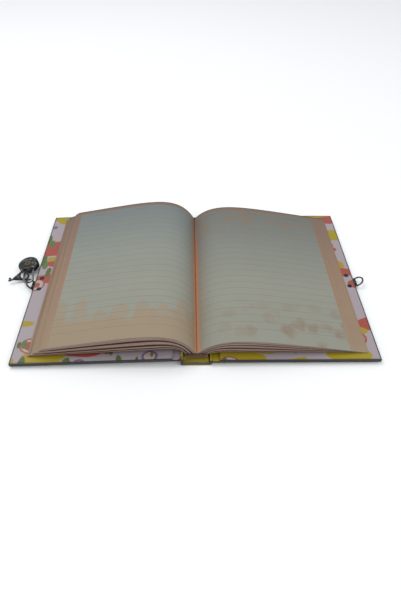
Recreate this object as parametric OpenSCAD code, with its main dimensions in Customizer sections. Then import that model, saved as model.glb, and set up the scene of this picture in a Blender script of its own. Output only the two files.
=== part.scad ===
// Hardback diary with lock, lying open on its covers.
// Origin: centre of the flat underside of the spine.
// +X points to the back cover, +Y to the head of the pages, +Z up.

/* [Covers] */
// Length of both covers and of the spine, head to tail
cover_h = 206; // [180:1:230]
// Thickness of the greyboard inside the covers
board_t = 2.3; // [1.8:0.1:3]
// Thickness of the covering paper
skin_t = 0.4; // [0.3:0.05:0.6]
// Thickness of the turned-in paper and of the endpaper
paper_t = 0.3; // [0.2:0.05:0.4]
// Width of the turned-in border of the covering paper
turn_in = 14; // [8:1:20]
// Border left bare round the pasted endpaper
endpaper_inset = 1.5; // [1:0.5:4]
// Width of the flexible joint between cover joint and board
joint_w = 7; // [5:0.5:9]
// Height of a cover's underside above the table at its fore edge
edge_lift = 1.5; // [1.5:0.1:2.5]

/* [Spine] */
// Thickness of the stiffener in the spine
spine_board_t = 2; // [1.5:0.1:2.5]
// Distance of the front cover's joint from the middle
front_joint_x = 13.5; // [12.5:0.5:16]
// Height of the front cover's joint
front_joint_z = 7; // [6:0.2:7.6]
// Distance of the back cover's joint from the middle
back_joint_x = 12.5; // [12:0.5:16]
// Height of the back cover's joint
back_joint_z = 4.2; // [4:0.2:5]
// Height of the glued back of the pages above the table
back_glue_z = 5; // [4.6:0.1:5.4]
// Diameter of the bands at head and tail
band_d = 2; // [1.4:0.2:2.6]

/* [Pages] */
// Length of the pages, head to tail
page_h = 192; // [165:1:200]
// Width of the pages from fold to fore edge
page_w = 140; // [110:1:160]
// Reach of a cover beyond the width of the pages
fore_margin = 4.5; // [4.5:0.5:8]
// Height of the crown that the open page makes on the front side
front_crown = 33; // [26:1:36]
// Height of the crown that the open page makes on the back side
back_crown = 26; // [20:1:30]

/* [Rings] */
// Diameter of the ring wire
ring_wire_d = 1.6; // [1.2:0.1:1.8]
// Width of a ring between the middles of its arms
ring_w = 10; // [9:0.5:12]
// Straight length of a ring's arms
ring_arm = 3; // [2:0.5:4]
// Position of the rings along the fore edge
ring_y = -6; // [-20:0.5:20]
// Angle at which the front ring stands
front_ring_tilt = 48.6; // [47:0.2:50]
// Angle at which the back ring stands
back_ring_tilt = 35; // [0:1:60]
// Thickness of the ring plates
plate_t = 0.8; // [0.6:0.1:0.9]
// Length of the ring plates along the fore edge
plate_l = 24; // [22:1:30]
// Depth of the ring plates under the cover
plate_d = 11; // [9:1:16]
// Diameter of the rivets' shanks
rivet_d = 2; // [1.6:0.1:2.6]
// Diameter of the rivets' heads
rivet_head_d = 4.6; // [4:0.2:5.4]
// Distance between the two rivets of a plate
rivet_pitch = 15; // [13:1:18]

/* [Padlock] */
// Diameter of the round case
case_d = 20; // [19:0.5:22]
// Thickness of the case
case_t = 6.6; // [6:0.2:7.4]
// Distance from the shackle's crown centre to the case's centre
case_y = 22; // [21:0.5:24]
// Distance from the shackle's crown centre to the case's shoulder
shoulder_y = 13.5; // [13:0.5:15]
// Diameter of the shackle rod
shackle_d = 2.2; // [1.8:0.1:2.4]
// Distance between the shackle's legs
shackle_w = 9; // [8:0.5:10]
// Depth of the locking leg in the case
short_leg = 4.5; // [4:0.5:5]
// Depth of the guided leg in the case
long_leg = 9; // [8:0.5:10]
// Diameter of the key plug
plug_d = 6.4; // [5.6:0.2:7]

/* [Key] */
// Thickness of the key
key_t = 1.2; // [1:0.1:1.4]
// Radius of the key's bow
bow_r = 5; // [4.4:0.1:5.6]
// Radius of the hole in the bow
bow_hole_r = 3.1; // [3:0.1:3.6]
// Length of the key from the hole's centre to its tip
key_l = 15.5; // [14:0.5:20]

/* [Hidden] */
$fn = 48;

FRONT = -1;
BACK = 1;

// Gap between pieces that move past each other
gap = 0.3;
// Radial clearance of a rod that turns or slides in its hole
fit = 0.08;
// Overrun of a cut past the face that it opens
cut = 1;

// Cover section, measured in the cover's own frame: joint axis at x = 0, z = 0
roll_r = 0.9;
socket_r = roll_r + gap;
lip_t = 0.6;
skin_z = -roll_r;
cover_reach = page_w + fore_margin;
board_z = skin_z + skin_t;
board_top = board_z + board_t;
inner_z = board_top + paper_t;
strip_t = 0.8;
edge_t = 0.4;

function joint_x(side) = side == FRONT ? front_joint_x : back_joint_x;
function joint_z(side) = side == FRONT ? front_joint_z : back_joint_z;
function tilt(side) = asin((joint_z(side) - roll_r - edge_lift) / cover_reach);

// Place, seen along the spine, of a point given in a cover's frame
function in_world(side, x, z) = [
    side * (joint_x(side) + x * cos(tilt(side)) + z * sin(tilt(side))),
    joint_z(side) - x * sin(tilt(side)) + z * cos(tilt(side))];

// Ring plate and ring, in the cover's frame
knuckle_r = ring_wire_d / 2 + fit + 0.7;
knuckle_l = ring_w - ring_wire_d - 2 * gap;
plate_z = skin_z - plate_t;
ring_x = cover_reach + knuckle_r + 0.1;
ring_z = plate_z + knuckle_r;
rivet_head_t = edge_lift - plate_t;
rivet_x = cover_reach - 6;

// Spine: ends of its floor, and the glued gauze with its feet
floor_lap = 1;
back_shoulder_in = 1.6;
front_floor_x = front_joint_x - 1;
back_floor_x = back_joint_x - 2.2;
gauze_t = 0.5;
gauze_inset = 3.5;
gauze_end = 2;
gauze_foot_end = 6;
band_inset = 5;

// Pages: each layer t runs from 0, next to the cover, to 1, the open page.
// A layer has the place of its fold, the height it climbs, the distance over which it climbs,
// and its fall for each millimetre towards the fore edge.
page_steps = 28;
fold_gap = 0.15;
fold_rise = 1.2;
section_inset = 4;
front_swell = 9.5;
front_swell_reach = 4.5;
front_crown_reach = 16;
front_low_fall = 9.8;
front_top_fall = 26.3;
back_swell = 3.2;
back_swell_reach = 4;
back_crown_reach = 19;
back_low_fall = 3.64;
back_top_fall = 26.6;
pages_z = back_glue_z + gauze_t + gap;
front_bottom = [front_joint_x - section_inset, pages_z, front_swell, front_swell_reach,
    front_low_fall / page_w];
front_top = [fold_gap, pages_z + fold_rise, front_crown, front_crown_reach, front_top_fall / page_w];
back_bottom = [back_joint_x - section_inset, pages_z, back_swell, back_swell_reach,
    back_low_fall / page_w];
back_top = [fold_gap, pages_z + fold_rise, back_crown, back_crown_reach, back_top_fall / page_w];
leaf_top = 0.985;
// Number of steps from the fold to the line where the open leaf lifts off
lift_step = 5;

// Padlock frame: crown centre of the shackle at the origin, legs along +Y,
// at lock_offset from the bar of the front ring
lock_offset = [-5.1, 5.2, 3.64];
ring_at = in_world(FRONT, ring_x, ring_z);
lock_pos = [ring_at[0] + lock_offset[0], ring_y + lock_offset[1], ring_at[1] + lock_offset[2]];
lock_turn = [-1, -7.8, 12.3];
leg_x = shackle_w / 2;
half_t = case_t / 2;
rim_r = 1.6;
leg_hole_r = shackle_d / 2 + fit;
spring_l = 3.4;
pawl_in = 1.6;
pawl_y = shoulder_y + pawl_in;
pawl_w = 1.4;
pawl_t = 1.8;
notch_d = 0.8;
// Cam disc on the key plug, and the yoke of the pawl round it
cam_r = 2;
cam_off = 0.42;
cam_x = -cam_off * sin(45);
cam_t = pawl_t + 0.2;
plug_sink = 0.2;
keyway_depth = 1.4;
keyway_r = 0.8;
keyway_w = 0.7;
keyway_l = 2.2;
cam_fit = 0.1;
yoke_t = 0.7;
yoke_half = cam_r + cam_fit + yoke_t;
yoke_room = yoke_half + gap - cam_x;
case_pin_d = 1.2;
case_pin_in = 2.3;
case_back_t = 1.2;
face_recess = 0.4;

// Key frame: hole centre at the origin, shank along +X
key_leg_y = 7.5;
key_turn = [-48, -3, 192];
key_neck_x = 11;
key_neck_w = 2;
key_shank_w = 1.6;
key_tip_l = 5;
key_tip_r = key_t / 2 + 0.3;
key_bit_l = 2;
key_bit_w = 2.6;
key_bit_end = 1;

// ---------- helpers ----------

// Places children drawn in a cover's frame, with +X towards the fore edge
module in_cover(side) {
    translate([side * joint_x(side), 0, joint_z(side)])
        mirror([side == FRONT ? 1 : 0, 0, 0])
            rotate([0, tilt(side), 0])
                children();
}

module in_lock() {
    translate(lock_pos)
        rotate(lock_turn)
            children();
}

// Cylinder along Y, centred on the origin
module rod_y(r, l) {
    rotate([90, 0, 0])
        cylinder(r = r, h = l, center = true);
}

// Block from x0 to x1 and z0 to z1, centred along Y
module slab(x0, x1, z0, z1, l) {
    translate([x0, -l / 2, z0])
        cube([x1 - x0, l, z1 - z0]);
}

// ---------- spine ----------

// Curved lip that holds a cover's rolled joint, in a frame centred on the joint axis
module joint_socket(side) {
    mirror([side == FRONT ? 1 : 0, 0, 0])
        rotate([90, 0, 0])
            rotate([0, 0, 98])
                translate([0, 0, -cover_h / 2])
                    difference() {
                        cylinder(r = socket_r + lip_t, h = cover_h);
                        translate([0, 0, -cut])
                            cylinder(r = socket_r, h = cover_h + 2 * cut);
                        translate([0, 0, -cut])
                            linear_extrude(cover_h + 2 * cut)
                                polygon([[0, 0], [6, 0], [6, -6], [-6, -6], [-6 * cos(2), -6 * sin(2)]]);
                    }
}

// Cross-section of the paper between the spine's floor and one joint lip
module shoulder_profile(side) {
    half = lip_t / 2;
    foot = joint_x(side) - (side == FRONT ? half : back_shoulder_in);
    top = joint_z(side) - socket_r - half;
    polygon([[side * (foot - floor_lap), 0], [side * (foot + half), 0],
        [side * (joint_x(side) + half), top], [side * (joint_x(side) - half), top],
        [side * (foot - half), lip_t], [side * (foot - floor_lap), lip_t]]);
}

module spine_wrap() {
    color("khaki") {
        slab(-front_floor_x, back_floor_x, 0, lip_t, cover_h);
        for (side = [FRONT, BACK]) {
            rotate([90, 0, 0])
                translate([0, 0, -cover_h / 2])
                    linear_extrude(cover_h)
                        shoulder_profile(side);
            translate([side * joint_x(side), 0, joint_z(side)])
                joint_socket(side);
        }
    }
}

module spine_board() {
    color("tan")
        slab(-front_floor_x, back_floor_x - edge_t, lip_t, lip_t + spine_board_t, cover_h - 2);
}

module spine_liner() {
    color("gold")
        slab(-front_floor_x, back_floor_x - edge_t, lip_t + spine_board_t,
            lip_t + spine_board_t + paper_t, cover_h - 2 * endpaper_inset);
}

// Gauze glued to the backs of the sections, with a foot on the spine along each side
module spine_gauze() {
    foot_z = lip_t + spine_board_t + paper_t;
    front_x = front_joint_x - gauze_inset;
    back_x = back_joint_x - gauze_inset;
    foot_l = page_h - 2 * gauze_foot_end;
    color("ivory") {
        slab(-front_x, back_x, back_glue_z, back_glue_z + gauze_t, page_h + 2 * gauze_end);
        slab(-front_x, -front_x + gauze_t, foot_z, back_glue_z, foot_l);
        slab(back_x - gauze_t, back_x, foot_z, back_glue_z, foot_l);
    }
}

module end_band(side) {
    color("firebrick")
        translate([0, side * (page_h / 2 + gap + band_d / 2), back_glue_z + gauze_t + band_d / 2])
            rotate([0, 90, 0])
                translate([0, 0, -front_joint_x + band_inset])
                    cylinder(r = band_d / 2, h = front_joint_x + back_joint_x - 2 * band_inset);
}

module head_band() {
    end_band(1);
}

module tail_band() {
    end_band(-1);
}

// ---------- covers ----------

// Covering paper: outer skin, edges, turned-in border and the rolled joint
module cover_wrap(side) {
    color("whitesmoke")
        in_cover(side)
            difference() {
                union() {
                    slab(joint_w, cover_reach, skin_z, inner_z, cover_h);
                    slab(0, joint_w + 0.5, skin_z, skin_z + strip_t, cover_h);
                    rod_y(roll_r, cover_h);
                }
                slab(joint_w + edge_t, cover_reach - edge_t, board_z, board_top, cover_h - 2 * edge_t);
                slab(joint_w + edge_t, cover_reach - turn_in, board_z, inner_z + cut,
                    cover_h - 2 * turn_in);
            }
}

module cover_board(side) {
    color("burlywood")
        in_cover(side)
            difference() {
                slab(joint_w + edge_t, cover_reach - edge_t, board_z, board_top,
                    cover_h - 2 * edge_t);
                rivet_holes(rivet_d / 2);
            }
}

// Endpaper pasted inside the cover, filling the window of the turned-in border
module cover_pastedown(side) {
    color("lavenderblush")
        in_cover(side) {
            slab(joint_w + endpaper_inset, cover_reach - endpaper_inset, inner_z,
                inner_z + paper_t, cover_h - 2 * endpaper_inset);
            slab(joint_w + edge_t, cover_reach - turn_in, board_top, inner_z,
                cover_h - 2 * turn_in);
        }
}

module at_rivets() {
    for (s = [-1, 1])
        translate([rivet_x, ring_y + s * rivet_pitch / 2, 0])
            children();
}

module rivet_holes(r) {
    at_rivets()
        translate([0, 0, plate_z - cut])
            cylinder(r = r, h = inner_z - plate_z + 4 * cut);
}

// ---------- nodes of the covers ----------

module front_wrap() {
    difference() {
        cover_wrap(FRONT);
        in_cover(FRONT)
            rivet_holes(rivet_d / 2);
    }
}

module back_wrap() {
    difference() {
        cover_wrap(BACK);
        in_cover(BACK)
            rivet_holes(rivet_d / 2);
    }
}

module front_board() {
    cover_board(FRONT);
}

module back_board() {
    cover_board(BACK);
}

module front_pastedown() {
    difference() {
        cover_pastedown(FRONT);
        in_cover(FRONT)
            rivet_holes(rivet_d / 2);
    }
}

module back_pastedown() {
    difference() {
        cover_pastedown(BACK);
        in_cover(BACK)
            rivet_holes(rivet_d / 2);
    }
}

// ---------- rings ----------

// Plate under the cover, rolled round the ring's straight bar
module ring_plate(side) {
    color("dimgray")
        in_cover(side)
            difference() {
                union() {
                    translate([0, ring_y, 0])
                        slab(cover_reach - plate_d, ring_x - knuckle_r, plate_z, skin_z, plate_l);
                    translate([0, ring_y, 0])
                        slab(ring_x - knuckle_r - 0.5, ring_x, plate_z, skin_z, knuckle_l);
                    translate([ring_x, ring_y, ring_z])
                        rod_y(knuckle_r, knuckle_l);
                }
                translate([ring_x, ring_y, ring_z])
                    rod_y(ring_wire_d / 2 + fit, knuckle_l + 2 * cut);
                rivet_holes(rivet_d / 2);
            }
}

// Rivets through plate and cover, with a low head outside and a clenched one inside
module plate_rivets(side) {
    color("slategray")
        in_cover(side)
            at_rivets() {
                translate([0, 0, plate_z])
                    cylinder(r = rivet_d / 2, h = inner_z + paper_t - plate_z);
                translate([0, 0, plate_z - rivet_head_t])
                    cylinder(r = rivet_head_d / 2, h = rivet_head_t);
                translate([0, 0, inner_z + paper_t])
                    cylinder(r1 = rivet_head_d / 2, r2 = rivet_head_d / 2 - 0.6, h = 0.6);
            }
}

// D-shaped ring in its own plane: bar along Y at the origin, reach along +X
module d_ring() {
    r = ring_wire_d / 2;
    rod_y(r, ring_w);
    for (s = [-1, 1])
        translate([0, s * ring_w / 2, 0]) {
            sphere(r = r);
            rotate([0, 90, 0])
                cylinder(r = r, h = ring_arm);
        }
    translate([ring_arm, 0, 0])
        rotate([0, 0, -90])
            rotate_extrude(angle = 180)
                translate([ring_w / 2, 0])
                    circle(r = r, $fn = 24);
}

module cover_ring(side, stand) {
    color("gray")
        in_cover(side)
            translate([ring_x, ring_y, ring_z])
                rotate([0, -stand - tilt(side), 0])
                    d_ring();
}

module front_ring_plate() {
    ring_plate(FRONT);
}

module back_ring_plate() {
    ring_plate(BACK);
}

module front_rivets() {
    plate_rivets(FRONT);
}

module back_rivets() {
    plate_rivets(BACK);
}

module front_ring() {
    cover_ring(FRONT, front_ring_tilt);
}

module back_ring() {
    cover_ring(BACK, back_ring_tilt);
}

// ---------- pages ----------

function mix(a, b, t) = a * (1 - t) + b * t;
function layer(side, t) = side == FRONT ? mix(front_bottom, front_top, t) : mix(back_bottom, back_top, t);
function rise(c, s) = c[1] + c[2] * (1 - exp(-s / c[3])) - c[4] * s;
function slope(c, s) = c[2] / c[3] * exp(-s / c[3]) - c[4];

// Points along one leaf, a page width long, from the fold to the fore edge
function leaf(side, t) =
    let (c = layer(side, t), step = page_w / page_steps)
    [for (i = 0, s = 0; i <= page_steps;
        s = s + step / sqrt(1 + pow(slope(c, s), 2)), i = i + 1)
        [side * (c[0] + s), rise(c, s)]];

function reverse(p) = [for (i = [len(p) - 1:-1:0]) p[i]];

function part_of(p, from, to) = [for (i = [from:to]) p[i]];

// Sheets with the profile given, a page long
module page_solid(points) {
    rotate([90, 0, 0])
        translate([0, 0, -page_h / 2])
            linear_extrude(page_h)
                polygon(points);
}

// Sheets between the layers t0 and t1
module sheets(side, t0, t1) {
    page_solid(concat(leaf(side, t0), reverse(leaf(side, t1))));
}

// Sheets from layer t0 up to the open leaf, with that leaf's own margin beside the fold
module top_sheets(side, t0) {
    page_solid(concat(leaf(side, t0),
        reverse(part_of(leaf(side, leaf_top), lift_step, page_steps)),
        reverse(part_of(leaf(side, 1), 0, lift_step))));
}

// The open leaf, from its bending line to the fore edge
module open_leaf(side) {
    page_solid(concat(part_of(leaf(side, leaf_top), lift_step, page_steps),
        reverse(part_of(leaf(side, 1), lift_step, page_steps))));
}

module front_flyleaf() {
    color("lavenderblush")
        sheets(FRONT, 0, 0.05);
}

module front_lower_sections() {
    color("seashell")
        sheets(FRONT, 0.12, 0.55);
}

module front_upper_sections() {
    color("linen")
        top_sheets(FRONT, 0.63);
}

module front_open_page() {
    color("peachpuff")
        open_leaf(FRONT);
}

module back_flyleaf() {
    color("lavenderblush")
        sheets(BACK, 0, 0.05);
}

module back_lower_sections() {
    color("seashell")
        sheets(BACK, 0.12, 0.55);
}

module back_upper_sections() {
    color("linen")
        top_sheets(BACK, 0.58);
}

module back_open_page() {
    color("peachpuff")
        open_leaf(BACK);
}

// ---------- padlock ----------

module leg(s, depth) {
    translate([s * leg_x, 0, 0])
        rotate([-90, 0, 0])
            cylinder(r = shackle_d / 2, h = shoulder_y + depth);
}

module shackle() {
    color("silver")
        in_lock()
            difference() {
                union() {
                    leg(-1, long_leg);
                    leg(1, short_leg);
                    rotate([0, 0, 180])
                        rotate_extrude(angle = 180)
                            translate([leg_x, 0])
                                circle(r = shackle_d / 2, $fn = 24);
                }
                translate([leg_x - shackle_d / 2 - cut, pawl_y - gap, -shackle_d])
                    cube([notch_d + cut, pawl_w + 2 * gap, 2 * shackle_d]);
            }
}

// Front half of the round case, still solid, with a rolled rim, cut off at the shoulder
module case_half() {
    r = case_d / 2;
    face = half_t - face_recess;
    difference() {
        translate([0, case_y, 0])
            rotate_extrude($fn = 72)
                polygon(concat([[0, 0], [r, 0]],
                    [for (a = [0:15:90]) [r - rim_r + rim_r * cos(a), half_t - rim_r + rim_r * sin(a)]],
                    [[r - rim_r - 0.6, half_t], [r - rim_r - 1, face], [plug_d / 2 + 1.4, face],
                    [plug_d / 2 + 1, half_t], [0, half_t]]));
        translate([-r, shoulder_y - case_d, -cut])
            cube([case_d, case_d, half_t + 2 * cut]);
    }
}

// Room in the case for the legs, spring, pawl, plug and pins
module case_hollow() {
    for (s = [-1, 1])
        translate([s * leg_x, 0, 0])
            rotate([-90, 0, 0])
                cylinder(r = leg_hole_r, h = shoulder_y + (s < 0 ? long_leg + spring_l : short_leg + gap));
    translate([-yoke_room, pawl_y - gap, -pawl_t / 2 - gap])
        cube([yoke_room + leg_x, pawl_w + 2 * gap, pawl_t + 2 * gap]);
    translate([-yoke_room, pawl_y, -pawl_t / 2 - gap])
        cube([2 * yoke_room, case_y + 2 * gap - pawl_y, pawl_t + 2 * gap]);
    translate([0, case_y, -half_t + case_back_t])
        cylinder(r = plug_d / 2 + fit, h = case_t);
    at_case_pins()
        translate([0, 0, -case_t])
            cylinder(r = case_pin_d / 2, h = 2 * case_t);
}

module at_case_pins() {
    for (a = [20, 90, 160])
        translate([0, case_y, 0])
            rotate([0, 0, a])
                translate([case_d / 2 - case_pin_in, 0, 0])
                    children();
}

module lock_case_front() {
    color("darkgray")
        in_lock()
            difference() {
                case_half();
                case_hollow();
            }
}

module lock_case_back() {
    color("dimgray")
        in_lock()
            difference() {
                mirror([0, 0, 1])
                    case_half();
                case_hollow();
            }
}

module lock_rivets() {
    color("silver")
        in_lock()
            at_case_pins()
                translate([0, 0, -half_t])
                    cylinder(r = case_pin_d / 2, h = case_t);
}

module lock_spring() {
    color("gray")
        in_lock()
            translate([-leg_x, shoulder_y + long_leg, 0])
                rotate([-90, 0, 0])
                    difference() {
                        cylinder(r = shackle_d / 2, h = spring_l);
                        translate([0, 0, -cut])
                            cylinder(r = shackle_d / 2 - 0.4, h = spring_l + 2 * cut);
                    }
}

// Key plug with its keyway, and inside the case a pivot and a cam disc that moves the pawl
module lock_plug() {
    color("goldenrod")
        in_lock()
            translate([0, case_y, 0]) {
                difference() {
                    translate([0, 0, cam_t / 2])
                        cylinder(r = plug_d / 2, h = half_t - plug_sink - cam_t / 2);
                    translate([0, 0, half_t - keyway_depth])
                        cylinder(r = keyway_r, h = keyway_depth + cut);
                    translate([-keyway_w / 2, -keyway_l, half_t - keyway_depth])
                        cube([keyway_w, keyway_l, keyway_depth + cut]);
                }
                translate([cam_x, cam_x, -cam_t / 2])
                    cylinder(r = cam_r, h = cam_t);
                translate([0, 0, -half_t + case_back_t])
                    cylinder(r = plug_d / 2, h = half_t - case_back_t - cam_t / 2);
            }
}

// Pawl that slides into the notch of the short leg, drawn back, with a yoke round the cam
module lock_pawl() {
    color("lightgray")
        in_lock() {
            translate([cam_x - yoke_half, pawl_y, -pawl_t / 2])
                cube([leg_x - leg_hole_r - gap / 2 - cam_x + yoke_half, pawl_w, pawl_t]);
            for (s = [-1, 1])
                translate([cam_x + s * (yoke_half - yoke_t / 2) - yoke_t / 2, pawl_y, -pawl_t / 2])
                    cube([yoke_t, case_y + gap - pawl_y, pawl_t]);
        }
}

// ---------- key ----------

module key() {
    color("dimgray")
        in_lock()
            translate([-leg_x, key_leg_y, 0])
                rotate(key_turn) {
                    translate([0, 0, -key_t / 2])
                        linear_extrude(key_t)
                            difference() {
                                key_outline();
                                circle(r = bow_hole_r);
                            }
                    translate([key_l - key_tip_l, 0, 0])
                        rotate([0, 90, 0])
                            cylinder(r = key_tip_r, h = key_tip_l);
                }
}

// Round bow that tapers to the shank, with the bit at the tip
module key_outline() {
    a = acos((bow_r - key_neck_w / 2) / key_neck_x);
    circle(r = bow_r);
    polygon([[bow_r * cos(a), bow_r * sin(a)], [key_neck_x, key_neck_w / 2],
        [key_neck_x, -key_neck_w / 2], [bow_r * cos(a), -bow_r * sin(a)]]);
    translate([key_neck_x - 1, -key_shank_w / 2])
        square([key_l - key_neck_x + 1, key_shank_w]);
    translate([key_l - key_bit_end - key_bit_l, -key_bit_w])
        square([key_bit_l, key_bit_w]);
}

// ---------- assembly ----------

spine_wrap();
spine_board();
spine_liner();
spine_gauze();
head_band();
tail_band();
front_wrap();
front_board();
front_pastedown();
front_ring_plate();
front_rivets();
back_wrap();
back_board();
back_pastedown();
back_ring_plate();
back_rivets();
front_flyleaf();
front_lower_sections();
front_upper_sections();
front_open_page();
back_flyleaf();
back_lower_sections();
back_upper_sections();
back_open_page();
front_ring();
back_ring();
shackle();
lock_case_back();
lock_case_front();
lock_rivets();
lock_spring();
lock_plug();
lock_pawl();
key();
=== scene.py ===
import bpy
import math
import random
from mathutils import Vector, Matrix


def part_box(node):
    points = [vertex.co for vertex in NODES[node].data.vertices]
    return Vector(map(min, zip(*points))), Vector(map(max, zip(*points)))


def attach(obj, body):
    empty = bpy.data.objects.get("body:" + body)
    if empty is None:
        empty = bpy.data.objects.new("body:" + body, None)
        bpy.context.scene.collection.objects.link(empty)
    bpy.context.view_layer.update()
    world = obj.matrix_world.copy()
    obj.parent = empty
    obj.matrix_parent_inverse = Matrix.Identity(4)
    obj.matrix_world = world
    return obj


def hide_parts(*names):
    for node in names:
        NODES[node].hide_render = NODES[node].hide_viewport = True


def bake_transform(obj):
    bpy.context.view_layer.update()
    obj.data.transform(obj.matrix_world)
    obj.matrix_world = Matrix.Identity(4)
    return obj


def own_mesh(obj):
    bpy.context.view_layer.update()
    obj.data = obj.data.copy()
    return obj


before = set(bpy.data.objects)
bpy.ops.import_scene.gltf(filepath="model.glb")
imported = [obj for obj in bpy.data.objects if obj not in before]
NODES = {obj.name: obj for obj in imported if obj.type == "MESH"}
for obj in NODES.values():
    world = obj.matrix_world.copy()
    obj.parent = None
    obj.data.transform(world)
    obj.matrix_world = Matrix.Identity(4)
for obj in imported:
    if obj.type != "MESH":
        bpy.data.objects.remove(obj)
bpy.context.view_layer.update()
MM = 0.001
FRONT, BACK = -1, 1
# Each side of the book, its word in the names of nodes, and the hand it lies on when open
SIDES = ((FRONT, "front", "left"), (BACK, "back", "right"))
# Size of a page, and the gap between its ruled lines, in mm
PAGE_H, PAGE_W, RULE_GAP = 192.0, 140.0, 8.3

scene = bpy.context.scene
scene.view_settings.view_transform = "Standard"
scene.view_settings.look = "None"

# ---------------------------------------------------------------- camera and light

# The camera that fits the photograph: its place in mm, its turns in degrees, and its focal length
# in pixels of an image that is IMAGE_PX high
CAMERA_AT = (-4.0, -339.1, 323.3)
CAMERA_YAW, CAMERA_PITCH, CAMERA_ROLL = 1.548, 45.956, 0.525
FOCAL_PX, IMAGE_PX, SENSOR_MM = 466.97, 601, 36
CLIP_NEAR, CLIP_FAR = 0.01, 20

SKY_COLOUR, SKY_STRENGTH = (0.95, 0.97, 1.0, 1), 0.78
# Soft round lights: name, place and size in m, and power in W
LIGHTS = (
    ("key_light", (-0.5, 0.35, 1.3), 0.9, 7.6),
    ("fill_light", (0.7, -0.7, 1.0), 1.2, 3.6),
)
# Half the floor's side, and how far it lies under the diary, in m
FLOOR_HALF, FLOOR_DROP = 3.0, 0.0002
FLOOR_COLOUR = (0.90, 0.905, 0.905)


def make_camera():
    cam = bpy.data.cameras.new("camera")
    obj = bpy.data.objects.new("camera", cam)
    scene.collection.objects.link(obj)
    yaw, pitch, roll = (math.radians(a) for a in (CAMERA_YAW, CAMERA_PITCH, CAMERA_ROLL))
    forward = Vector((math.sin(yaw) * math.cos(pitch), math.cos(yaw) * math.cos(pitch), -math.sin(pitch)))
    level = Vector((math.cos(yaw), -math.sin(yaw), 0))
    upright = level.cross(forward)
    right = level * math.cos(roll) + upright * math.sin(roll)
    up = upright * math.cos(roll) - level * math.sin(roll)
    m = Matrix((right, up, -forward)).transposed().to_4x4()
    m.translation = Vector(CAMERA_AT) * MM
    obj.matrix_world = m
    cam.sensor_width = SENSOR_MM
    cam.lens = FOCAL_PX * SENSOR_MM / IMAGE_PX
    cam.clip_start, cam.clip_end = CLIP_NEAR, CLIP_FAR
    scene.camera = obj


def make_light(name, at, size, power):
    """A round lamp that points at the middle of the diary."""
    light = bpy.data.lights.new(name, "AREA")
    light.shape = "DISK"
    light.size = size
    light.energy = power
    obj = bpy.data.objects.new(name, light)
    obj.location = at
    obj.rotation_euler = (-Vector(at)).to_track_quat("-Z", "Y").to_euler()
    scene.collection.objects.link(obj)


def make_stage():
    world = bpy.data.worlds.new("world")
    scene.world = world
    world.use_nodes = True
    sky = world.node_tree.nodes["Background"].inputs
    sky[0].default_value = SKY_COLOUR
    sky[1].default_value = SKY_STRENGTH
    for name, at, size, power in LIGHTS:
        make_light(name, at, size, power)
    mesh = bpy.data.meshes.new("floor")
    h = FLOOR_HALF
    mesh.from_pydata([(-h, -h, 0), (h, -h, 0), (h, h, 0), (-h, h, 0)], [], [(0, 1, 2, 3)])
    floor = bpy.data.objects.new("floor", mesh)
    floor.location.z = -FLOOR_DROP
    scene.collection.objects.link(floor)
    mesh.materials.append(floor_paint("floor_white"))


# ---------------------------------------------------------------- material helpers

# Share of a colour's brightness that its paint has, as the light adds the rest
LIT = 0.72


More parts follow.
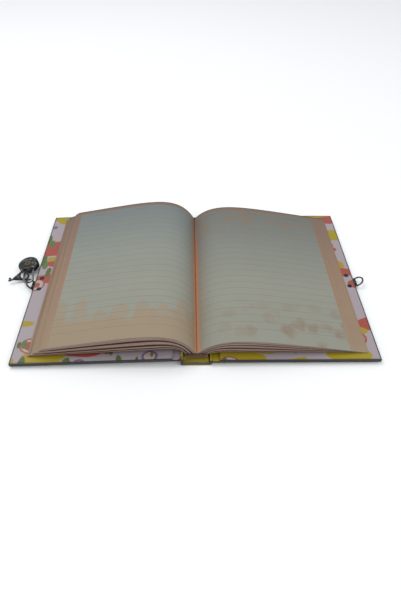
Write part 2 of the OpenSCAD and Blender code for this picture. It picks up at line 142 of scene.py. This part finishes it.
class Tree:
    """Short calls for building a node material. A value is a socket, a number or a colour of three.
    space is the object's own space in metres, and uv is its UV map.
    """

    def __init__(self, name):
        self.mat = bpy.data.materials.new(name)
        self.mat.use_nodes = True
        self.t = self.mat.node_tree
        self.bsdf = self.t.nodes["Principled BSDF"]
        co = self.t.nodes.new("ShaderNodeTexCoord").outputs
        self.space, self.uv = co["Object"], co["UV"]

    def node(self, kind, **props):
        n = self.t.nodes.new(kind)
        for k, v in props.items():
            setattr(n, k, v)
        return n

    def put(self, socket, value):
        if value is None:
            return
        if isinstance(value, bpy.types.NodeSocket):
            self.t.links.new(value, socket)
        elif socket.type == "RGBA":
            socket.default_value = (*value, 1)
        else:
            socket.default_value = value

    def math(self, op, *values):
        n = self.node("ShaderNodeMath", operation=op)
        for socket, v in zip(n.inputs, values):
            self.put(socket, v)
        return n.outputs[0]

    def add(self, a, b):
        return self.math("ADD", a, b)

    def sub(self, a, b):
        return self.math("SUBTRACT", a, b)

    def mul(self, a, b):
        return self.math("MULTIPLY", a, b)

    def mul_add(self, a, b, c):
        """a times b, plus c."""
        return self.math("MULTIPLY_ADD", a, b, c)

    def above(self, a, b):
        return self.math("GREATER_THAN", a, b)

    def below(self, a, b):
        return self.math("LESS_THAN", a, b)

    def larger(self, a, b):
        return self.math("MAXIMUM", a, b)

    def smaller(self, a, b):
        return self.math("MINIMUM", a, b)

    def fract(self, a):
        return self.math("FRACT", a)

    def absolute(self, a):
        return self.math("ABSOLUTE", a)

    def mapping(self, co, scale=(1, 1, 1), rot=(0, 0, 0), loc=(0, 0, 0)):
        n = self.node("ShaderNodeMapping")
        self.put(n.inputs["Vector"], co)
        n.inputs["Scale"].default_value = scale
        n.inputs["Rotation"].default_value = rot
        n.inputs["Location"].default_value = loc
        return n.outputs[0]

    def noise(self, co, scale, detail=3, rough=0.5, out="Fac"):
        n = self.node("ShaderNodeTexNoise")
        self.put(n.inputs["Vector"], co)
        n.inputs["Scale"].default_value = scale
        n.inputs["Detail"].default_value = detail
        n.inputs["Roughness"].default_value = rough
        return n.outputs[out]

    def cells(self, co, scale=1.0, randomness=1.0):
        """Distance from the middle of a random cell, and the cell's three random numbers."""
        n = self.node("ShaderNodeTexVoronoi")
        self.put(n.inputs["Vector"], co)
        n.inputs["Scale"].default_value = scale
        n.inputs["Randomness"].default_value = randomness
        return n.outputs["Distance"], n.outputs["Color"]

    def ramp(self, fac, stops, interpolation="LINEAR"):
        n = self.node("ShaderNodeValToRGB")
        n.color_ramp.interpolation = interpolation
        e = n.color_ramp.elements
        while len(e) > 1:
            e.remove(e[-1])
        for i, (place, colour) in enumerate(stops):
            s = e[0] if i == 0 else e.new(place)
            s.position = place
            s.color = (*colour, 1)
        self.put(n.inputs[0], fac)
        return n.outputs[0]

    def grey(self, fac, lo, hi, a=0.0, b=1.0):
        """Fac from lo to hi mapped to a..b, clamped."""
        n = self.node("ShaderNodeMapRange", clamp=True)
        self.put(n.inputs["Value"], fac)
        n.inputs["From Min"].default_value = lo
        n.inputs["From Max"].default_value = hi
        n.inputs["To Min"].default_value = a
        n.inputs["To Max"].default_value = b
        return n.outputs[0]

    def mix(self, fac, a, b):
        n = self.node("ShaderNodeMix", data_type="RGBA")
        self.put(n.inputs[0], fac)
        self.put(n.inputs[6], a)
        self.put(n.inputs[7], b)
        return n.outputs[2]

    def xyz(self, vector):
        n = self.node("ShaderNodeSeparateXYZ")
        self.put(n.inputs[0], vector)
        return n.outputs

    def join(self, x, y):
        n = self.node("ShaderNodeCombineXYZ")
        self.put(n.inputs[0], x)
        self.put(n.inputs[1], y)
        return n.outputs[0]

    def bump(self, height, strength, distance):
        """Raises the surface by up to distance, in metres."""
        n = self.node("ShaderNodeBump")
        n.inputs["Strength"].default_value = strength
        n.inputs["Distance"].default_value = distance
        self.put(n.inputs["Height"], height)
        self.put(self.bsdf.inputs["Normal"], n.outputs[0])

    def finish(self, colour, rough, metal=None, specular=None):
        self.put(self.bsdf.inputs["Base Color"], colour)
        self.put(self.bsdf.inputs["Roughness"], rough)
        self.put(self.bsdf.inputs["Metallic"], metal)
        self.put(self.bsdf.inputs["Specular IOR Level"], specular)
        return self.mat


def srgb(r, g, b):
    """A colour as it should look under the studio light, as the paint that gives it."""

    def f(v):
        v /= 255
        return LIT * (v / 12.92 if v <= 0.04045 else ((v + 0.055) / 1.055) ** 2.4)

    return (f(r), f(g), f(b))


def dim(colour, share):
    return tuple(v * share for v in colour)


def floor_paint(name):
    """Matt white with a cloud that is only just there."""
    t = Tree(name)
    cloud = t.noise(t.space, 3.0, 2)
    c = t.mix(t.grey(cloud, 0.35, 0.65, 0, 0.06), FLOOR_COLOUR, dim(FLOOR_COLOUR, 0.97))
    return t.finish(c, 0.9, specular=0.2)


# ---------------------------------------------------------------- printed paper

# On a page, u is the share of its width from the fold and v the share of its height from the foot.
# Where the pale window ends and the warm frame begins at the fore edge, and how wide its soft edge is
FRAME_FROM = {FRONT: 0.972, BACK: 0.984}
FRAME_BLUR = 0.006
# The same at the head, and the dark line at the head's edge
HEAD_FRAME, HEAD_LINE = (0.970, 0.974), (0.991, 0.995)
# Ruled field, and share of a gap that its line takes
FIELD_LOW, FIELD_HIGH, LINE_SHARE = 0.045, 0.90, 0.05
# Heading of dots, and half its height
HEADING, HEADING_HALF = 0.945, 0.0032
# The frame's warmth near the fold, and the painted warm reflection and painted shade deep in the fold
WARM_FOLD, FOLD_BOUNCE_AND_SHADE = (0.14, 0.02), (0.034, 0.016)
# Painted warm reflection at the foot of an inner page, seen in the gaps between bundles, which stops
# short of the fore edge
INNER_FOOT, INNER_STOP = (0.07, 0.03), (0.94, 0.90)
# Width of a page as a share of its height, so that the forms of a picture aren't stretched
ASPECT = 0.73
# Village: lowest ground, height of its waves and humps, and how much higher the far row stands
GROUND, WAVE, HUMPS, FAR_UP = 0.095, 0.018, 0.06, 0.02
# Rows of houses: room for how many, seed, share of empty places, and height
NEAR_ROW, FAR_ROW = (12.0, 3.3, 0.3, 0.045), (7.5, 21.4, 0.25, 0.075)

# Pale window at the far, middle and near end of a page, and the tone of the picture on it
WINDOW = {
    FRONT: (srgb(131, 139, 137), srgb(154, 159, 149), srgb(162, 162, 149)),
    BACK: (srgb(126, 128, 122), srgb(148, 151, 141), srgb(161, 161, 147)),
}
PICTURE_TONE = {FRONT: srgb(171, 152, 126), BACK: srgb(150, 124, 101)}
# Tones by height on the page
FRAME_TONES = [(0.0, srgb(170, 146, 120)), (0.5, srgb(166, 132, 108)), (1.0, srgb(142, 116, 100))]
# Painted warm reflection and painted shade deep in the fold, by height on the page, darker towards the
# head
FOLD_REFLECTION_TONES = [(0.0, srgb(214, 158, 118)), (0.6, srgb(206, 142, 104)), (1.0, srgb(142, 124, 108))]
# Inks of the rules and the dots, and the tone of the dark line at the head's edge
RULE_INK, DOT_INK, HEAD_EDGE_DARK = srgb(122, 118, 106), srgb(96, 92, 84), srgb(84, 92, 84)
# Painted warm reflection in the gaps between bundles, and the tone of the paper's clouds
GAP_BOUNCE_TONE, CLOUD_TONE = srgb(132, 82, 58), srgb(110, 104, 96)

# Cover print: cells per metre both ways for each motif, and share of the cells that stay bare
BAR_CELLS, ROUND_CELLS, LEAF_CELLS = (27, 62, 1), (38, 38, 1), (95, 40, 1)
BAR_BARE, ROUND_BARE, ROUND_BARE_SUNNY, LEAF_BARE = 0.1, 0.3, 0.85, 0.62
LILAC, YELLOW = srgb(176, 164, 168), srgb(190, 172, 60)
BAR_MUSTARD, BAR_RED, BAR_OLIVE = srgb(172, 150, 26), srgb(172, 78, 64), srgb(150, 132, 40)
ROUND_TONES = [(0.0, srgb(168, 82, 70)), (0.45, srgb(182, 122, 118)), (0.75, srgb(122, 100, 134))]
ROUND_RING = srgb(190, 172, 164)
LEAF_TONES = [(0.0, srgb(84, 100, 48)), (1.0, srgb(104, 122, 60))]
# Painted shade on a cover: the dark line along its outer edges, and its upright sides
RIM_SHADE_DARK, SIDE_SHADE_DARK = srgb(44, 46, 48), srgb(38, 40, 42)
# Distance in m from a cover's outer edges at which the print gives way to the painted shade line
RIM = (0.0011, 0.0007)


def paper_grain(t):
    """Fine fibre of uncoated paper, as bump. Returns its soft clouds, for the colour."""
    fibre = t.noise(t.space, 1400, 4, 0.6)
    cloud = t.noise(t.space, 60)
    t.bump(t.add(fibre, t.mul(cloud, 0.6)), 0.12, 0.0001)
    return cloud


def gables(t, u, v, ground, count, seed, empty, size):
    """Mask of a row of simple houses with pointed roofs, standing on ground."""
    place = t.mul_add(u, count, seed)
    inside = t.absolute(t.sub(t.fract(place), 0.5))
    white = t.node("ShaderNodeTexWhiteNoise", noise_dimensions="1D")
    t.put(white.inputs["W"], t.math("FLOOR", place))
    pick = t.xyz(white.outputs["Color"])
    half = t.mul_add(pick[0], 0.16, 0.28)
    wall = t.mul_add(pick[1], size, size * 0.4)
    roof = t.mul(t.sub(half, inside), size * 1.1)
    there = t.mul(t.above(pick[2], empty), t.below(inside, half))
    top = t.add(ground, t.mul(t.add(wall, roof), there))
    return t.below(v, top)


def village(t, u, v):
    """Mask of hills with round trees and a row of houses, with a fainter row behind them."""
    wave = t.mul(t.math("SINE", t.mul_add(u, 6.0, 1.6)), WAVE)
    humps = t.mul(t.noise(t.join(u, 3.3), 6.0, 2), HUMPS)
    ground = t.add(t.add(wave, humps), GROUND)
    near = gables(t, u, v, ground, *NEAR_ROW)
    far = gables(t, u, v, t.add(ground, FAR_UP), *FAR_ROW)
    spot, _ = t.cells(t.join(t.mul(u, ASPECT), t.mul(v, 0.9)), 16.0)
    crown = t.mul(t.grey(spot, 0.46, 0.40), t.grey(t.sub(v, ground), 0.055, 0.045))
    return t.larger(t.mul(far, 0.62), t.larger(near, t.mul(crown, 0.85)))


def petals(t, u, v, soft):
    """Mask of faint blossoms over the head and the foot, which soft thins out."""
    head = t.mul(t.grey(v, 0.72, 0.84), t.grey(u, 0.98, 0.55, 0.35, 0.9))
    foot = t.mul(t.grey(v, 0.30, 0.12), t.grey(u, 0.1, 0.75, 0.25, 1.0))
    spot, _ = t.cells(t.join(t.mul(u, ASPECT), v), 13.0)
    fray = t.mul(t.noise(t.join(t.mul(u, ASPECT), v), 30.0, 5, 0.7), 0.7)
    bloom = t.grey(t.add(spot, fray), 0.92, 0.66)
    return t.mul(t.mul(bloom, t.larger(head, foot)), t.grey(soft, 0.35, 0.65, 0.2, 0.8))


def page_print(name, side, inner=False):
    """Ruled page: pale window, warm frame, painted warm reflection and shade deep in the fold, and a soft
    generic picture of hills and houses or of flowers.
    An inner page shows only its rims, whose foot gets a deeper tone of painted warm reflection.
    """
    t = Tree(name)
    u, v, _ = t.xyz(t.uv)
    far, middle, near = WINDOW[side]
    window = t.ramp(v, [(0.0, near), (0.35, near), (0.6, middle), (0.95, far), (1.0, far)])
    warm = t.ramp(v, FRAME_TONES)
    soft = t.noise(t.join(u, v), 9.0, 4, 0.6)
    if side == FRONT:
        picture = t.mul(village(t, u, v), t.grey(soft, 0.2, 0.8, 0.85, 1.0))
    else:
        picture = petals(t, u, v, soft)
    c = t.mix(picture, window, PICTURE_TONE[side])
    # ruled lines
    line = t.below(t.fract(t.mul_add(v, PAGE_H / RULE_GAP, 0.3)), LINE_SHARE)
    field = t.mul(t.above(v, FIELD_LOW), t.below(v, FIELD_HIGH))
    c = t.mix(t.mul(t.mul(line, field), 0.55), c, RULE_INK)
    # dotted heading row in three runs, without words
    dots = t.below(t.fract(t.mul(u, 52.0)), 0.35)
    dots = t.mul(dots, t.below(t.absolute(t.sub(v, HEADING)), HEADING_HALF))
    dots = t.mul(dots, t.below(t.fract(t.mul_add(u, 3.0, 0.7)), 0.3))
    c = t.mix(t.mul(dots, 0.7), c, DOT_INK)
    # warm frame along the fore edge, head and fold
    fore = t.grey(u, FRAME_FROM[side], FRAME_FROM[side] + FRAME_BLUR)
    c = t.mix(t.larger(fore, t.grey(v, *HEAD_FRAME)), c, warm)
    c = t.mix(t.grey(u, *WARM_FOLD, 0.0, 0.35), c, warm)
    # painted warm reflection and painted shade deep in the fold
    c = t.mix(t.grey(u, *FOLD_BOUNCE_AND_SHADE), c, t.ramp(v, FOLD_REFLECTION_TONES))
    c = t.mix(t.grey(v, *HEAD_LINE), c, HEAD_EDGE_DARK)
    # painted warm reflection at the foot of an inner page, seen in the gaps between bundles
    if inner:
        c = t.mix(t.mul(t.grey(v, *INNER_FOOT), t.grey(u, *INNER_STOP)), c, GAP_BOUNCE_TONE)
    cloud = paper_grain(t)
    c = t.mix(t.grey(cloud, 0.3, 0.7, 0.0, 0.05), c, CLOUD_TONE)
    return t.finish(c, 0.72, specular=0.25)


def page_edge(name, dark, mid, light):
    """Cut edges of the stacked sheets: fine lines along the layers, tinted by the printed borders."""
    t = Tree(name)
    along, up, _ = t.xyz(t.uv)
    fine = t.noise(t.join(t.mul(along, 0.7), t.mul(up, 260.0)), 1.0, 3, 0.7)
    broad = t.noise(t.join(t.mul(along, 0.5), t.mul(up, 38.0)), 1.0, 2, 0.6)
    c = t.ramp(fine, [(0.30, dark), (0.42, mid), (0.54, light)])
    c = t.mix(t.grey(broad, 0.45, 0.6, 0.0, 0.6), c, light)
    # folded sections part a little, with a line of painted shade in the gap between them
    part = t.fract(t.mul_add(broad, 0.2, t.mul(up, 11.0)))
    c = t.mix(t.grey(part, 0.2, 0.05, 0.0, 0.6), c, dim(dark, 0.35))
    t.bump(fine, 0.6, 0.0003)
    return t.finish(c, 0.8, specular=0.15)


def cover_print(name, edge=True, sunny=False, rim=None):
    """Cheerful generic print of rounds, bars and leaves on pale lilac, or on yellow where it is sunny.
    With edge, the upright sides are painted dark as shade. rim is the X and the lowest and highest Y of a
    cover's outer edges, where the print gives way to a painted shade line.
    """
    t = Tree(name)
    flat = t.mapping(t.space, scale=(1, 1, 0))
    wobble = t.noise(flat, 45, 2, out="Color")
    shift = t.node("ShaderNodeMixRGB", blend_type="ADD")
    shift.inputs[0].default_value = 0.006
    t.put(shift.inputs[1], flat)
    t.put(shift.inputs[2], wobble)
    p = shift.outputs[0]
    # long rounded bars
    place = t.mapping(p, scale=BAR_CELLS, rot=(0, 0, 0.35), loc=(0.1, 0.7, 0))
    spot, tint = t.cells(place, randomness=0.9)
    pick = t.xyz(tint)
    there = t.mul(t.grey(spot, 0.56, 0.53), t.above(pick[0], BAR_BARE))
    tones = t.ramp(pick[1], [(0.0, BAR_MUSTARD), (0.6, BAR_OLIVE if sunny else BAR_RED)], "CONSTANT")
    c = t.mix(there, YELLOW if sunny else LILAC, tones)
    # rounds with a ring
    spot, tint = t.cells(t.mapping(p, scale=ROUND_CELLS, loc=(3.1, 1.7, 0)), randomness=0.8)
    pick = t.xyz(tint)
    there = t.mul(t.grey(spot, 0.36, 0.34), t.above(pick[0], ROUND_BARE_SUNNY if sunny else ROUND_BARE))
    ring = t.below(t.absolute(t.sub(spot, 0.27)), 0.035)
    tones = t.ramp(pick[2], ROUND_TONES, "CONSTANT")
    c = t.mix(there, c, t.mix(ring, tones, ROUND_RING))
    # leaves
    spot, tint = t.cells(t.mapping(p, scale=LEAF_CELLS, rot=(0, 0, -0.8)))
    pick = t.xyz(tint)
    there = t.mul(t.grey(spot, 0.34, 0.31), t.above(pick[0], LEAF_BARE))
    c = t.mix(there, c, t.ramp(pick[1], LEAF_TONES))
    if rim:
        # painted shade line along the cover's outer edges
        x, y, _ = t.xyz(t.space)
        rim_x, low_y, high_y = rim
        inset = t.smaller(t.sub(y, low_y), t.sub(high_y, y))
        inset = t.smaller(inset, t.absolute(t.sub(x, rim_x)))
        c = t.mix(t.grey(inset, *RIM), c, RIM_SHADE_DARK)
    if edge:
        # painted shade: upright faces, which carry the same print, are coloured dark by their facing
        turn = t.node("ShaderNodeVectorTransform", vector_type="NORMAL",
                      convert_from="WORLD", convert_to="OBJECT")
        t.put(turn.inputs[0], t.node("ShaderNodeNewGeometry").outputs["True Normal"])
        facing_up = t.absolute(t.xyz(turn.outputs[0])[2])
        c = t.mix(t.grey(facing_up, 0.62, 0.55), c, SIDE_SHADE_DARK)
    t.bump(t.noise(t.space, 900), 0.08, 0.0001)
    return t.finish(c, t.grey(t.noise(t.space, 25), 0.3, 0.7, 0.36, 0.5), specular=0.4)


# ---------------------------------------------------------------- metal, board, cloth

# Colour, colour where it is rubbed, roughness where it is rubbed and elsewhere, and scale of the rubbing
METALS = {
    "blackened": ((0.035, 0.036, 0.036), (0.16, 0.16, 0.155), (0.28, 0.5), 260),
    "ring_metal": ((0.05, 0.05, 0.05), (0.28, 0.28, 0.27), (0.2, 0.4), 260),
    "case_metal": ((0.04, 0.042, 0.04), (0.22, 0.23, 0.22), (0.25, 0.45), 180),
    "shackle_metal": ((0.2, 0.2, 0.2), (0.42, 0.42, 0.41), (0.15, 0.35), 260),
    "brass_worn": ((0.12, 0.09, 0.05), (0.26, 0.2, 0.11), (0.3, 0.5), 260),
    "inner_metal": ((0.3, 0.3, 0.3), (0.5, 0.5, 0.5), (0.3, 0.5), 260),
}
# Scale of the gauze's threads, and the pitch of a band's stripes and threads in m
GAUZE_SCALE, STRIPE, THREAD = 2600 / 6, 0.0016, 0.0008


def metal(name, colour, worn, rough, scale):
    """Plated or blackened metal with rubbed patches and fine scratches."""
    t = Tree(name)
    rub = t.noise(t.space, scale, 5, 0.65)
    scratch = t.noise(t.mapping(t.space, scale=(1, 8, 1), rot=(0.2, 0.3, 0.7)), scale * 6, 2)
    c = t.mix(t.grey(rub, 0.52, 0.68), colour, worn)
    c = t.mix(t.grey(scratch, 0.62, 0.7, 0, 0.5), c, worn)
    smooth, matt = rough
    r = t.grey(rub, 0.3, 0.7, matt, smooth)
    t.bump(t.add(rub, t.mul(scratch, 0.4)), 0.15, 0.0002)
    return t.finish(c, r, metal=1.0)


def board(name):
    """Raw greyboard, with its layers along the cut edge."""
    t = Tree(name)
    n = t.noise(t.mapping(t.space, scale=(1, 1, 6)), 300, 5, 0.7)
    t.bump(n, 0.3, 0.0003)
    c = t.ramp(n, [(0.3, srgb(92, 84, 74)), (0.7, srgb(138, 128, 114))])
    return t.finish(c, 0.9, specular=0.1)


def woven(name, a, b):
    """Open weave of threads both ways."""
    t = Tree(name)
    threads = []
    for direction in ("X", "Y"):
        w = t.node("ShaderNodeTexWave", wave_type="BANDS", bands_direction=direction)
        t.put(w.inputs["Vector"], t.space)
        w.inputs["Scale"].default_value = GAUZE_SCALE
        w.inputs["Distortion"].default_value = 0.4
        threads.append(w.outputs["Fac"])
    weave = t.larger(*threads)
    t.bump(weave, 0.5, 0.0002)
    return t.finish(t.mix(weave, a, b), 0.85, specular=0.15)


def striped_band(name):
    """Sewn band of two colours of thread."""
    t = Tree(name)
    x = t.xyz(t.space)[0]
    stripe = t.above(t.fract(t.mul(x, 1 / STRIPE)), 0.5)
    t.bump(t.absolute(t.math("SINE", t.mul(x, 2 * math.pi / THREAD))), 0.6, 0.0002)
    return t.finish(t.mix(stripe, srgb(84, 44, 34), srgb(120, 88, 70)), 0.7, specular=0.3)


# ---------------------------------------------------------------- pages

# Steps of the CAD solid's curve across a page, mesh points to a step, and the step at which the open
# leaf parts from its block
STEPS, FINE, LIFT = 28, 3, 5
# Mesh points up a page
ROWS = 9
# Layers are told by their height in the block, from 0 at the lowest to 1 at the open leaf, which
# begins at LEAF_TOP
LEAF_TOP = 0.985
# The curves of layers 0 and 1 in mm: how far out and how high the leaf starts, how much its crown
# rises and within what length, and its fall for each mm outward
LAYERS = {
    FRONT: ((9.5, 5.8, 9.5, 4.5, 9.8 / PAGE_W), (0.15, 7.0, 33.0, 16.0, 26.3 / PAGE_W)),
    BACK: ((8.5, 5.8, 3.2, 4.0, 3.64 / PAGE_W), (0.15, 7.0, 26.0, 19.0, 26.6 / PAGE_W)),
}
# Layers of the mesh that end flush at the fore edge, before the next step
STEP_SHEETS = 5
# Place on the page's print, as a share of its width, that gives a step its tone: on every second step
# this far past the beginning of the frame, and on the others well inside it
TREAD_PAST, TREAD_FRAME = 0.0042, 0.995
# Most that a sheet falls short of the others, in mm, at the fore edge and at the head and foot
FORE_UNEVEN, END_UNEVEN = 0.12, 0.22
# Share of a mesh step within which the block's top drops from the leaf's height beside the fold
DROP_STEP = 0.02
# Scale of the edges' print along the head and foot, and along the fore edge
EDGE_ALONG, FORE_ALONG = 4.0, 6.0
# Angle between faces, in degrees, above which their edge is sharp
SHARP = 35
# Slots of the sheets' materials
PRINT, EDGE, FORE = 0, 1, 2

# The bundles of sheets: CAD node, lowest and highest layer, mesh layers, and how it bends when a cover
# closes. The bend starts at a point, in mm outward and up, and each mm outward and each mm up adds a
# share of it.
BUNDLES = {
    FRONT: (
        ("flyleaf", 0.0, 0.05, 3, (13.7, 4.9, 0.0100, 0.0649)),
        ("lower_sections", 0.12, 0.215, 5, (-5.9, -26.1, 0.0043, 0.0134)),
        ("lower_sections", 0.34, 0.55, 11, (6.5, -18.8, 0.0049, 0.0140)),
        ("upper_sections", 0.69, 0.805, 6, (-10.4, -5.0, 0.0052, 0.0145)),
        ("upper_sections", 0.81, LEAF_TOP, 10, (-2.8, -6.6, 0.0052, 0.0129)),
    ),
    BACK: (
        ("flyleaf", 0.0, 0.05, 3, (6.9, 5.8, 0.0161, 0.1727)),
        ("lower_sections", 0.12, 0.25, 6, (-3.6, -30.9, 0.0039, 0.0154)),
        ("lower_sections", 0.35, 0.52, 9, (-8.9, -23.7, 0.0048, 0.0138)),
        ("upper_sections", 0.60, 0.74, 8, (8.7, -15.1, 0.0055, 0.0174)),
        ("upper_sections", 0.78, LEAF_TOP, 10, (5.7, -12.4, 0.0058, 0.0162)),
    ),
}


def leaf_points(side, t):
    """Points (x, z) in mm along the leaf of layer t, on the same curve as the CAD solid. The steps
    follow the leaf's own length, so each leaf is as long as the page is wide.
    """
    low, high = LAYERS[side]
    out, up, crown, reach, fall = (p * (1 - t) + q * t for p, q in zip(low, high))
    s, marks = 0.0, []
    for _ in range(STEPS + 1):
        marks.append(s)
        s += PAGE_W / STEPS / math.sqrt(1 + (crown / reach * math.exp(-s / reach) - fall) ** 2)
    points = []
    for i in range(STEPS * FINE + 1):
        k, f = divmod(i, FINE)
        s = marks[k] if f == 0 else marks[k] + (marks[k + 1] - marks[k]) * f / FINE
        points.append((side * (out + s), up + crown * (1 - math.exp(-s / reach)) - fall * s))
    return points


def sheets(name, side, t0, t1, layers, paper, first=0, margin=False, seed=1):
    """A closed block of sheets between layers t0 and t1, from mesh point first outward. With margin,
    it reaches layer 1 beside the fold. paper holds the materials of the print, the cut edges and the
    fore edge.
    """
    rnd = random.Random(seed)
    n, lift, end = STEPS * FINE, LIFT * FINE, ROWS - 1
    curves = {}

    def curve(t):
        t = round(t, 6)
        if t not in curves:
            curves[t] = leaf_points(side, t)
        return curves[t]

    def height(j, top=t1):
        return t0 + (top - t0) * j / layers

    columns = list(range(first, n + 1))
    if margin:
        columns.insert(columns.index(lift) + 1, lift + DROP_STEP)
    last = len(columns) - 1
    # sheets of one section end flush, so the fore edge climbs in steps
    flush = [curve(height(j // STEP_SHEETS * STEP_SHEETS))[n][0] for j in range(layers + 1)]
    short = [side * (flush[j] - curve(height(j))[n][0]) for j in range(layers + 1)]
    short = [v + rnd.uniform(-FORE_UNEVEN, 0.0) for v in short]
    uneven = [0.0] + [rnd.uniform(-END_UNEVEN, 0.0) for _ in range(layers - 1)] + [0.0]

    def point(col, j, k):
        c = curve(height(j, 1.0 if margin and col <= lift else t1))
        i = int(col)
        x, z = c[i]
        if col != i:
            x2, z2 = c[i + 1]
            x, z = x + (x2 - x) * DROP_STEP, z + (z2 - z) * DROP_STEP
        if i == n:
            xa, za = c[n - 1]
            length = math.hypot(x - xa, z - za)
            x += (x - xa) / length * short[j]
            z += (z - za) / length * short[j]
        y = PAGE_H * (k / end - 0.5)
        if k in (0, end):
            y += -uneven[j] if k == 0 else uneven[j]
        return x * MM, y * MM, z * MM

    verts, index, faces, mats, uvs = [], {}, [], [], []

    def vert(key):
        ci, j, k = key
        if key not in index:
            index[key] = len(verts)
            verts.append(point(columns[ci], j, k))
        return index[key]

    def face(keys, mat, uv):
        faces.append([vert(key) for key in keys])
        mats.append(mat)
        uvs.append(uv)

    def both(near, far, mat, quad, uv):
        """The same face on two opposite sides of the block, turned over on the second."""
        face([near(a, b) for a, b in quad], mat, uv)
        face([far(a, b) for a, b in reversed(quad)], mat, uv[::-1])

    def square(a, b):
        return [(a, b), (a + 1, b), (a + 1, b + 1), (a, b + 1)]

    for ci in range(last):
        for k in range(end):
            q = square(ci, k)
            both(lambda a, b: (a, layers, b), lambda a, b: (a, 0, b), PRINT, q,
                 [(columns[a] / n, b / end) for a, b in q])
        for j in range(layers):
            q = square(ci, j)
            both(lambda a, b: (a, b, 0), lambda a, b: (a, b, end), EDGE, q,
                 [(columns[a] / n * EDGE_ALONG, height(b)) for a, b in q])
    for k in range(end):
        for j in range(layers):
            q = square(k, j)
            uv = [(a / end * FORE_ALONG, height(b)) for a, b in q]
            outer = [(last, b, a) for a, b in q]
            step, sheet = divmod(j + 1, STEP_SHEETS)
            if sheet == 0 and layers > STEP_SHEETS:
                u = FRAME_FROM[side] + TREAD_PAST if step % 2 else TREAD_FRAME
                face(outer, PRINT, [(u, a / end) for a, b in q])
            else:
                face(outer, FORE, uv)
            face([(0, b, a) for a, b in reversed(q)], EDGE, uv[::-1])
    mesh = bpy.data.meshes.new(name)
    mesh.from_pydata(verts, [], faces)
    if side == FRONT:
        mesh.flip_normals()
    layer_uv = mesh.uv_layers.new(name="UVMap")
    for poly in mesh.polygons:
        for loop, v in zip(poly.loop_indices, poly.vertices):
            layer_uv.data[loop].uv = uvs[poly.index][faces[poly.index].index(v)]
        poly.material_index = mats[poly.index]
        poly.use_smooth = mats[poly.index] == PRINT
    for mat in paper:
        mesh.materials.append(mat)
    mesh.set_sharp_from_angle(angle=math.radians(SHARP))
    obj = bpy.data.objects.new(name, mesh)
    scene.collection.objects.link(obj)
    return obj


def make_pages():
    edge = page_edge("page_edges", srgb(84, 60, 50), srgb(132, 108, 96), srgb(182, 162, 150))
    fore = page_edge("fore_edges", srgb(92, 68, 56), srgb(132, 106, 90), srgb(158, 132, 114))
    for side, word, hand in SIDES:
        shown = (page_print(f"page_print_{hand}", side), edge, fore)
        hidden = (page_print(f"inner_print_and_bounce_{hand}", side, inner=True), edge, fore)
        for i, (what, t0, t1, layers, bend) in enumerate(BUNDLES[side]):
            top = t1 == LEAF_TOP
            o = sheets(f"{word}_{what}_paper_{i}", side, t0, t1, layers, shown if top else hidden,
                       margin=top, seed=11 * i + side)
            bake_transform(o)
            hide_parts(f"{word}_{what}")
        leaf = sheets(f"{word}_open_leaf", side, LEAF_TOP, 1.0, 1, shown, first=LIFT * FINE, seed=5)
        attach(leaf, f"{word}_leaf")
        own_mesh(leaf)
        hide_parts(f"{word}_open_page")


# ---------------------------------------------------------------- CAD pieces that stay


def dress_all():
    """Gives each CAD node that stays in sight its material."""
    m = {name: metal(name, *look) for name, look in METALS.items()}
    grey, paste = board("greyboard"), cover_print("endpaper", edge=False)
    band = striped_band("band_threads")
    looks = {
        "spine_wrap": cover_print("spine_paper", sunny=True),
        "spine_board": grey,
        "spine_liner": cover_print("spine_lining", edge=False, sunny=True),
        "spine_gauze": woven("gauze", srgb(110, 96, 80), srgb(160, 148, 130)),
        "head_band": band,
        "tail_band": band,
        "shackle": m["shackle_metal"],
        "lock_case_back": m["case_metal"],
        "lock_case_front": m["case_metal"],
        "lock_rivets": m["shackle_metal"],
        "lock_spring": m["inner_metal"],
        "lock_plug": m["brass_worn"],
        "lock_pawl": m["inner_metal"],
        "key": m["blackened"],
    }
    for side, word, _ in SIDES:
        low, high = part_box(word + "_wrap")
        outer_x = low[0] if side == FRONT else high[0]
        looks[word + "_wrap"] = cover_print(word + "_cover_paper", rim=(outer_x, low[1], high[1]))
        looks[word + "_board"] = grey
        looks[word + "_pastedown"] = paste
        looks[word + "_ring_plate"] = m["blackened"]
        looks[word + "_rivets"] = m["blackened"]
        looks[word + "_ring"] = m["ring_metal"]
    for node, mat in looks.items():
        slots = NODES[node].data.materials
        slots.clear()
        slots.append(mat)


make_camera()
make_stage()
make_pages()
dress_all()
